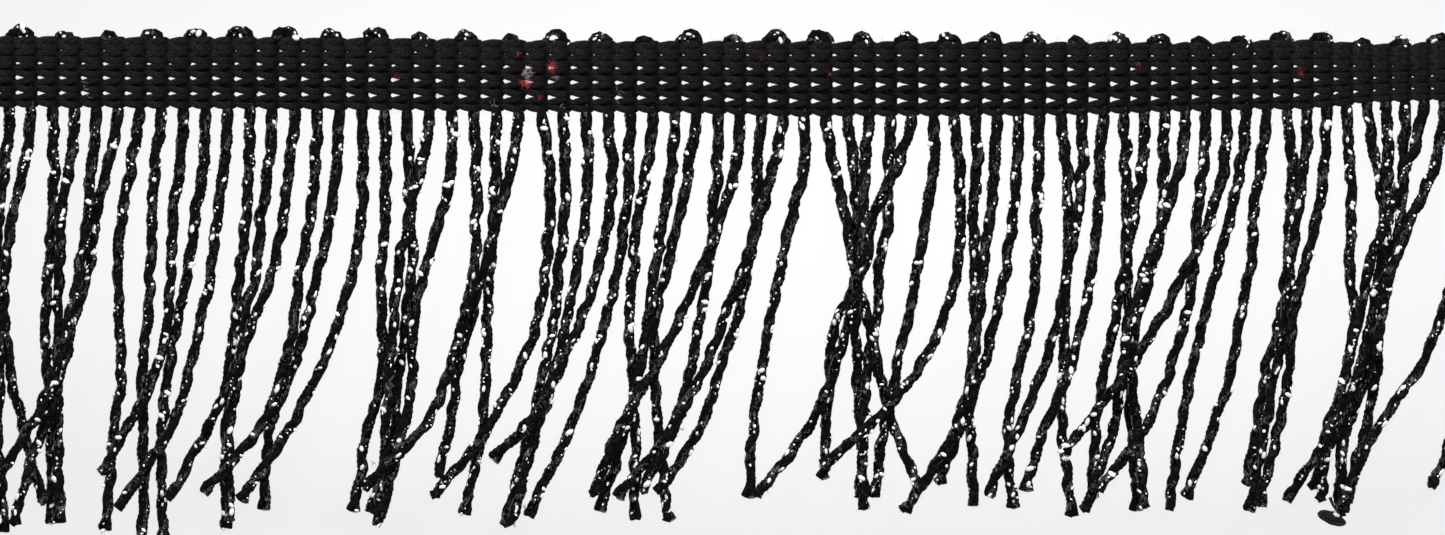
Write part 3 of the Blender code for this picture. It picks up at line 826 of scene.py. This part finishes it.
ply_tree = tree_of("yarn_ply", PLY, yarn_ply)
strand_lines = wires("strand_lines", strand_paths())
film = clear_dark_film()
strand_black = spun_yarn("tight_black_yarn", STRAND_BLACK_SHADE, STRAND_BLACK)
worn_tree = strand_black.node_tree
worn = add(worn_tree, "ShaderNodeTexNoise", own_place(worn_tree), 1 / WORN_PATCH, PATCH_DETAIL)
worn = add(worn_tree, "ShaderNodeMapRange", worn, WORN_FROM, WORN_FULL, 0.0, 1.0)
mixed_in(strand_black, worn.outputs["Result"], STRAND_WORN_AND_SHADE)
black_plies = grown("strands_black_ply", ply_tree, strand_lines, PLY, strand_black)
film_plies = grown("strands_film_ply", ply_tree, strand_lines, FILM_PLY, film)
for piece in (black_plies, film_plies):
    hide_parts("skirt")

# Curled end: the ply of one strand near the right has run out of its tip. It hangs there by a few fibres,
# curled up into a small flat spindle of black yarn.
CURL = {**LOOPS, "Yarn radius": 0.34 * MM, "Step": 0.2 * MM, "Uneven": 0.25, "Seed": 7}
CURLED_GREY = (0.032, 0.032, 0.034)
CurlPoint = namedtuple("CurlPoint", "x y high thick")
# The line of the curled ply in mm, from the strand's tip on, and how thick it is there.
CURL_LINE = [
    CurlPoint(86.8, -60.5, 0.9, 0.7),
    CurlPoint(87.0, -61.3, 0.7, 0.5),
    CurlPoint(87.5, -62.0, 0.5, 0.5),
    CurlPoint(88.0, -62.8, 0.5, 0.8),
    CurlPoint(87.0, -62.9, 0.6, 1.1),
    CurlPoint(85.9, -62.6, 0.5, 1.1),
    CurlPoint(85.0, -62.7, 0.4, 0.9),
    CurlPoint(85.9, -63.5, 0.4, 1.0),
    CurlPoint(87.2, -64.0, 0.4, 1.2),
    CurlPoint(88.2, -64.4, 0.4, 0.8),
    CurlPoint(89.1, -64.2, 0.4, 0.5),
    CurlPoint(88.6, -63.9, 0.5, 0.8),
    CurlPoint(87.9, -63.4, 0.7, 1.3),
    CurlPoint(87.0, -63.4, 0.8, 1.5),
    CurlPoint(86.1, -63.0, 0.8, 1.0),
]
curl_line = [(point.x * MM, point.y * MM, point.high * MM) for point in CURL_LINE]
curled = wires("curl_line", [curl_line], fullness=[1.0])
for k, point in enumerate(CURL_LINE):
    curled.attributes["fullness"].data[k].value = point.thick
# Between its fibres the curled yarn takes the strands' worn grey as painted shade.
curled_yarn = spun_yarn("thin_black_yarn", STRAND_WORN_AND_SHADE, CURLED_GREY)
curled_end = grown("curled_end", loop_tree, curled, CURL, curled_yarn)
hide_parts("skirt")

# Picots: the strands' yarn turns back at the top edge after every second stitch, and stands out there in a
# small domed loop of two plies. Some are tall and some are drawn in flat.
PICOT_EVERY = 2
FIRST_PICOT = -1
# How far through its stitch a picot stands: at the left end, and from the middle stitch given on.
PICOT_PHASE_LEFT = 0.42
PICOT_PHASE = 0.62
PICOT_PHASE_STITCH = 36
PICOT_HIGH = 0.95 * MM
PICOT_FOOT_HIGH = 0.55 * MM
PICOT_FOOT_INSIDE = 0.7 * MM
PICOT_POINTS = 9
TALL_PICOTS = {0, 5, 6, 8, 12, 15, 17, 18}
FLAT_PICOTS = {1, 2, 9, 11, 14, 16, 24, 27, 28, 31}
# Half a picot's width, and how far its top stands out of the edge.
PICOT_SPREAD = {"flat": 1.4 * MM, "plain": 1.6 * MM, "tall": 1.9 * MM}
PICOT_RISE = {"flat": 0.95 * MM, "plain": 1.4 * MM, "tall": 1.75 * MM}
PICOT_PLY = {
    **PLY,
    "Ply radius": 0.55 * MM,
    "Offset": 0.36 * MM,
    "Twist length": 3.6 * MM,
    "Step": 0.25 * MM,
    "Crinkle": 0.0,
    "Bead": 0.13,
    "Uneven": 0.3,
    "Neck": 1.0,
    "Flare": 0.0,
}
PICOT_FILM = {**PICOT_PLY, "Turn": 0.5}

picot_paths = []
for picot in range(FIRST_PICOT, int((LAST_STITCH - PICOT_PHASE) // PICOT_EVERY) + 1):
    kind = "tall" if picot in TALL_PICOTS else "flat" if picot in FLAT_PICOTS else "plain"
    stitch = PICOT_EVERY * picot
    phase = np.interp(stitch, (0, PICOT_PHASE_STITCH), (PICOT_PHASE_LEFT, PICOT_PHASE))
    x, top, _ = heading_at(stitch + phase)
    reach = PICOT_PLY["Ply radius"] + 0.5 * PICOT_PLY["Offset"]
    turn = np.linspace(0, math.pi, PICOT_POINTS)
    aside = (PICOT_SPREAD[kind] - PICOT_PLY["Ply radius"]) * np.cos(turn)
    rise = (PICOT_RISE[kind] - reach + PICOT_FOOT_INSIDE) * np.sin(turn) - PICOT_FOOT_INSIDE
    high = PICOT_FOOT_HIGH + (PICOT_HIGH - PICOT_FOOT_HIGH) * np.sin(turn)
    picot_paths.append([(x - dx, top + dy, z) for dx, dy, z in zip(aside, rise, high)])
picot_lines = wires("picot_lines", picot_paths)
picots = grown("picots_black_ply", ply_tree, picot_lines, PICOT_PLY, strand_black)
picot_films = grown("picots_film_ply", ply_tree, picot_lines, PICOT_FILM, film)
for piece in (picots, picot_films):
    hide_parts("heading")

# Glints: turns of the slit silver film that show through the film ply, each bent over it like a small
# bright scale. Their near-white, mostly matte colour makes them painted glints, bright under any light.
# They lie close together in some stretches and far apart in others.
GLINTS = {
    **FILM_PLY,
    "Spacing": 0.50 * MM,
    "Share": 0.41,
    "Crowding": 1.5,
    "Crowd length": 3.8 * MM,
    "Long": 0.54 * MM,
    "Wide": 0.31 * MM,
    "Thick": 0.20 * MM,
    "Smallest": 0.32,
    "Largest": 1.35,
}
PICOT_GLINTS = {**GLINTS, **PICOT_FILM, "Share": 1.0, "Long": 0.5 * MM, "Wide": 0.34 * MM}
CROWD_SALT = 9.1
# A strand is bare of glints at its root, and they begin a little below it.
BARE_UNTIL = 0.9 * MM
BARE_ENDS = 1.3 * MM
BARE_LOSS = -2.0
# How far out of the ply's middle a scale sits, in ply radii.
GLINT_OUT = 0.9
# In radians: how far round from the ply's top a scale may be, as the sum of two draws, and how far it may
# be turned and tilted there.
GLINT_ROUND = 1.1
GLINT_ROUND_MORE = 0.9
GLINT_TURN = 1.5
GLINT_TILT = 0.2
# The higher this is, the more of the scales are small.
GLINT_SMALLNESS = 2.4
GLINT_SIDES = 7
GLINT_RINGS = 4
# What the first random draw adds to the seed. Each later draw adds one more.
FIRST_SALT = 21
# Near-white and barely metallic: the film's silver with a painted glint, bright under any light.
SILVER_AND_PAINTED_GLINT = (0.92, 0.92, 0.94)
SILVER_ROUGHNESS = 0.3
SILVER_METALLIC = 0.1
SILVER_CREASE = 0.3 * MM
SILVER_CREASE_DEEP = 0.05 * MM
SILVER_CREASED = 0.3


def scattered(tree, points, shape, rotation, scale):
    """A copy of the shape on each of the points, turned and scaled."""
    copies = add(tree, "GeometryNodeInstanceOnPoints", points)
    for label, value in {"Instance": shape, "Rotation": rotation, "Scale": scale}.items():
        give(tree, copies.inputs[label], value)
    return copies


def film_glints(tree, sizes):
    """Small domes scattered along the film ply, set into it and turned at random across it."""
    salts = itertools.count(FIRST_SALT)

    def drawn(low, high):
        seed = maths(tree, "ADD", sizes["Seed"], float(next(salts)))
        return add(tree, "FunctionNodeRandomValue", low, high, None, seed, data_type="FLOAT")

    line = ply_line(tree, sizes)
    crowd = noise_along(tree, CROWD_SALT, sizes["Crowd length"])
    bare = add(tree, "ShaderNodeMapRange", length_along(tree), BARE_UNTIL, BARE_ENDS, BARE_LOSS, 0.0)
    line = stored(tree, line, "crowd", maths(tree, "ADD", crowd, bare))
    line = stored(tree, line, "thick", ply_radius(tree, sizes))
    points = add(tree, "GeometryNodeCurveToPoints", line, sizes["Spacing"], mode="LENGTH")

    share = maths(tree, "MULTIPLY_ADD", named(tree, "crowd"), sizes["Crowding"], sizes["Share"])
    chance = drawn(0.0, 1.0)
    lost = add(tree, "FunctionNodeCompare", chance, share, data_type="FLOAT", operation="GREATER_THAN")

    tangent = points.outputs["Tangent"]
    side = vectors(tree, "NORMALIZE", vectors(tree, "CROSS_PRODUCT", tangent, (0.0, 0.0, 1.0)))
    up = vectors(tree, "CROSS_PRODUCT", side, tangent)
    angle = drawn(-GLINT_ROUND, GLINT_ROUND)
    angle = maths(tree, "ADD", angle, drawn(-GLINT_ROUND_MORE, GLINT_ROUND_MORE))
    up = scaled(tree, up, maths(tree, "COSINE", angle))
    out = vectors(tree, "ADD", up, scaled(tree, side, maths(tree, "SINE", angle)))
    stand = scaled(tree, out, maths(tree, "MULTIPLY", named(tree, "thick"), GLINT_OUT))
    place = vectors(tree, "ADD", add(tree, "GeometryNodeInputPosition"), stand)

    turn = drawn(-GLINT_TURN, GLINT_TURN)
    grade = maths(tree, "POWER", drawn(0.0, 1.0), GLINT_SMALLNESS)
    tilt = drawn(-GLINT_TILT, GLINT_TILT)
    faced = add(tree, "FunctionNodeAlignRotationToVector", None, None, out, axis="Z")
    faced = add(tree, "FunctionNodeAlignRotationToVector", faced, None, tangent, axis="X", pivot_axis="Z")
    skew = add(tree, "FunctionNodeEulerToRotation", add(tree, "ShaderNodeCombineXYZ", tilt, 0.0, turn))
    faced = add(tree, "FunctionNodeRotateRotation", faced, skew, rotation_space="LOCAL")

    spread = maths(tree, "SUBTRACT", sizes["Largest"], sizes["Smallest"])
    grade = maths(tree, "MULTIPLY_ADD", grade, spread, sizes["Smallest"])
    shape = add(tree, "ShaderNodeCombineXYZ", sizes["Wide"], sizes["Long"], sizes["Thick"])
    points = add(tree, "GeometryNodeSetPosition", points, None, place)
    points = add(tree, "GeometryNodeDeleteGeometry", points, lost)
    dome = add(tree, "GeometryNodeMeshUVSphere", GLINT_SIDES, GLINT_RINGS, 1.0)
    dome = add(tree, "GeometryNodeSetShadeSmooth", dome)
    return scattered(tree, points, dome, faced, scaled(tree, shape, grade))


# The glints' finish: painted glint on the silver film.
silver, silver_tree, silver_shader = finish_of("silver_film_painted_glints", SILVER_AND_PAINTED_GLINT, SILVER_ROUGHNESS)
silver_shader.inputs["Metallic"].default_value = SILVER_METALLIC
silver_place = own_place(silver_tree)
creases = add(silver_tree, "ShaderNodeTexNoise", silver_place, 1 / SILVER_CREASE, PATCH_DETAIL)
creased = add(silver_tree, "ShaderNodeBump", SILVER_CREASED, SILVER_CREASE_DEEP, None, creases)
give(silver_tree, silver_shader.inputs["Normal"], creased)
glint_tree = tree_of("film_glints", GLINTS, film_glints)
glints = grown("strands_glints", glint_tree, strand_lines, GLINTS, silver)
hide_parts("skirt")
picot_glints = grown("picots_glints", glint_tree, picot_lines, PICOT_GLINTS, silver)
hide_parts("heading")

# Fuzz: ends of fine dark fibre that stand out of the yarn, longest on the heading. Each is held by the
# twist of the yarn that it comes out of.
FUZZ = {
    "Per square metre": 300000.0,
    "Shortest": 0.25 * MM,
    "Longest": 0.8 * MM,
    "Thick": 0.022 * MM,
    "Lean": 1.0,
    "Seed": 17,
}
HEADING_FUZZ = {**FUZZ, "Per square metre": 600000.0, "Longest": 1.1 * MM, "Seed": 19}
PICOT_FUZZ = {**FUZZ, "Per square metre": 500000.0, "Longest": 0.6 * MM, "Thick": 0.05 * MM, "Seed": 23}
# A fibre of length 1 bows over through this middle to this tip, and tapers by this share.
FIBRE_SEGMENTS = 3
FIBRE_MIDDLE = (0, 0, 0.6)
FIBRE_TIP = (0.35, 0, 1)
FIBRE_TAPER = 0.75
FIBRE_SIDES = 3
LEAN_SEED = 31
LONG_SEED = 32
FUZZ_GREY = (0.048, 0.046, 0.045)
FUZZ_ROUGHNESS = 0.8
FUZZ_SPECULAR = 0.2


def fibre_ends(tree, sizes):
    """Bowed and tapered fibres that are rooted all over a piece, and lean off its surface at random."""
    roots = add(tree, "GeometryNodeDistributePointsOnFaces", sizes["Geometry"])
    give(tree, roots.inputs["Density"], sizes["Per square metre"])
    give(tree, roots.inputs["Seed"], sizes["Seed"])
    any_way = ((-1, -1, -1), (1, 1, 1), None, LEAN_SEED)
    lean = add(tree, "FunctionNodeRandomValue", *any_way, data_type="FLOAT_VECTOR")
    lean = vectors(tree, "ADD", roots.outputs["Normal"], scaled(tree, lean, sizes["Lean"]))
    turned = add(tree, "FunctionNodeAlignRotationToVector", None, None, lean, axis="Z")
    bow = add(tree, "GeometryNodeCurveQuadraticBezier", FIBRE_SEGMENTS, (0, 0, 0), FIBRE_MIDDLE, FIBRE_TIP)
    along = add(tree, "GeometryNodeSplineParameter").outputs["Factor"]
    taper = maths(tree, "MULTIPLY_ADD", along, -FIBRE_TAPER, 1.0)
    girth = ring_of(tree, FIBRE_SIDES, maths(tree, "DIVIDE", sizes["Thick"], sizes["Longest"]))
    fibre = add(tree, "GeometryNodeCurveToMesh", bow, girth, taper, True)
    any_length = (sizes["Shortest"], sizes["Longest"], None, LONG_SEED)
    long = add(tree, "FunctionNodeRandomValue", *any_length, data_type="FLOAT")
    return scattered(tree, roots, fibre, turned, add(tree, "ShaderNodeCombineXYZ", long, long, long))


fuzz_tree = tree_of("fibre_ends", FUZZ, fibre_ends)
fuzz_finish, _, _ = finish_of("fibre_ends", FUZZ_GREY, FUZZ_ROUGHNESS, FUZZ_SPECULAR)
strand_fuzz = grown("strands_fuzz", fuzz_tree, black_plies.data, FUZZ, fuzz_finish)
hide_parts("skirt")
heading_fuzz = grown("heading_fuzz", fuzz_tree, wales.data, HEADING_FUZZ, fuzz_finish)
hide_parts("heading")
picot_fuzz = grown("picots_fuzz", fuzz_tree, picot_films.data, PICOT_FUZZ, fuzz_finish)
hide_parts("heading")

# Lint: stray fluff, red, pale and dull, that has caught on the heading and on a few of the strands. It is
# loose tufts of fine curled fibres, which are held only by the yarn that they cling to.
Tuft = namedtuple("Tuft", "x y z spread fibres kind")
# Each tuft in mm: its middle, how far it spreads and how many fibres it has.
TUFTS = [
    Tuft(-24.3, 0.9, 1.9, 0.75, 60, "red"),
    Tuft(-28.1, -1.3, 1.9, 0.80, 60, "red"),
    Tuft(-27.9, 0.2, 1.95, 0.95, 40, "pale"),
    Tuft(-29.2, 2.9, 1.7, 0.45, 14, "red"),
    Tuft(-29.5, 5.2, 1.4, 0.5, 14, "red"),
    Tuft(-26.0, -3.2, 1.8, 0.5, 10, "red"),
    Tuft(-23.8, -0.4, 1.9, 0.6, 8, "pale"),
    Tuft(-32.4, -3.9, 1.9, 0.9, 5, "pale"),
    Tuft(-22.8, -4.6, 1.8, 0.6, 3, "pale"),
    Tuft(-14.7, -2.7, 1.9, 1.0, 4, "pale"),
    Tuft(-15.0, -3.7, 1.9, 0.7, 3, "pale"),
    Tuft(5.6, 2.4, 1.7, 0.8, 26, "dull"),
    Tuft(15.3, 0.0, 1.9, 0.3, 14, "red"),
    Tuft(20.4, 4.2, 1.6, 0.35, 12, "red"),
    Tuft(59.4, 1.4, 1.8, 0.5, 10, "red"),
    Tuft(82.6, 0.3, 1.8, 0.6, 12, "red"),
    Tuft(-46.4, -0.6, 1.8, 0.5, 8, "red"),
    Tuft(-40.6, -3.1, 1.7, 0.4, 6, "red"),
    Tuft(-91.0, -2.0, 1.8, 1.0, 4, "pale"),
    Tuft(-49.8, -55.7, 1.9, 0.5, 12, "red"),
    Tuft(19.9, -32.3, 1.9, 0.5, 8, "red"),
    Tuft(23.1, -19.4, 1.9, 0.5, 6, "red"),
]
LINT = {"Thick": 0.022 * MM, "Step": 0.12 * MM, "Sides": 3}
LINT_SEEDS = {"red": 41, "pale": 42, "dull": 43}
# How far a fibre's middle strays from its tuft's, in spreads, and how low the tuft lies.
TUFT_STRAY = 0.45
TUFT_LOW = 0.25
# How far a fibre turns on its way, in radians, how much it rises, and its length in spreads.
LINT_TURN = 1.6
LINT_RISE = 0.3
LINT_LENGTHS = (0.5, 1.5)
LINT_POINTS = 7
LINT_ROUGHNESS = 0.8
LINT_COLOURS = {"red": (0.37, 0.030, 0.036), "pale": (0.37, 0.33, 0.28), "dull": (0.035, 0.011, 0.009)}


def lint_paths(kind, seed):
    """Short curled fibres, each a slow bend through the tuft that it belongs to."""
    rng = np.random.default_rng(seed)
    paths = []
    for tuft in (row for row in TUFTS if row.kind == kind):
        for _ in range(tuft.fibres):
            place = rng.normal(0, TUFT_STRAY, 3) * (1, 1, TUFT_LOW)
            heading = rng.uniform(0, math.tau)
            bend = rng.normal(0, LINT_TURN)
            long = rng.uniform(*LINT_LENGTHS) * tuft.spread
            turns = heading + bend * np.linspace(0, 1, LINT_POINTS)
            rises = rng.normal(0, LINT_RISE, LINT_POINTS)
            steps = np.stack([np.cos(turns), np.sin(turns), rises], 1)
            run = np.cumsum(steps, 0) * long / LINT_POINTS
            run += place * tuft.spread + (tuft.x, tuft.y, tuft.z) - run.mean(0)
            paths.append([tuple(point * MM) for point in run])
    return paths


def lint_fibres(tree, sizes):
    """Fine round fibres along the paths."""
    return swept(tree, sizes, lines_of(tree, sizes), sizes["Thick"])


lint_tree = tree_of("lint_fibres", LINT, lint_fibres)
for kind, seed in LINT_SEEDS.items():
    lint_finish, _, _ = finish_of(kind + "_lint", LINT_COLOURS[kind], LINT_ROUGHNESS)
    lint_piece = grown(kind + "_lint", lint_tree, wires("lint", lint_paths(kind, seed)), LINT, lint_finish)
